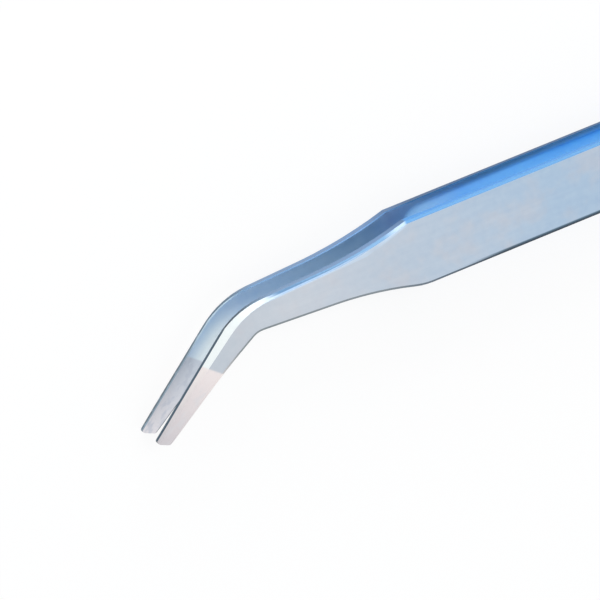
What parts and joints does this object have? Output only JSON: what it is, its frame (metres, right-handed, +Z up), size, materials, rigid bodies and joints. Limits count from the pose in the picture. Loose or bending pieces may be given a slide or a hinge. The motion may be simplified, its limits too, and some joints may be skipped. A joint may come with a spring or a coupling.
{
  "type": "smd tweezers",
  "caption": "Bent flat-tip tweezers for placing small electronic parts, spring steel arms welded at the heel, with a narrow neck and an angled, tapered tip.",
  "frame": {"origin": "centre line of the lower arm's flat outer face, near the middle of the body, on the surface that the tweezers lie on", "axes": "+X from the welded heel to the tips, +Y to the side that the tips bend to, +Z up, across both arms"},
  "size_m": [0.1201, 0.0175, 0.01],
  "materials": {
    "satin_steel": "satin ground steel, blue tinted edges and inner faces, plain ground tips"
  },
  "bodies": {
    "root": {"upper_arm": "satin_steel", "lower_arm": "satin_steel"}
  },
  "joints": []
}
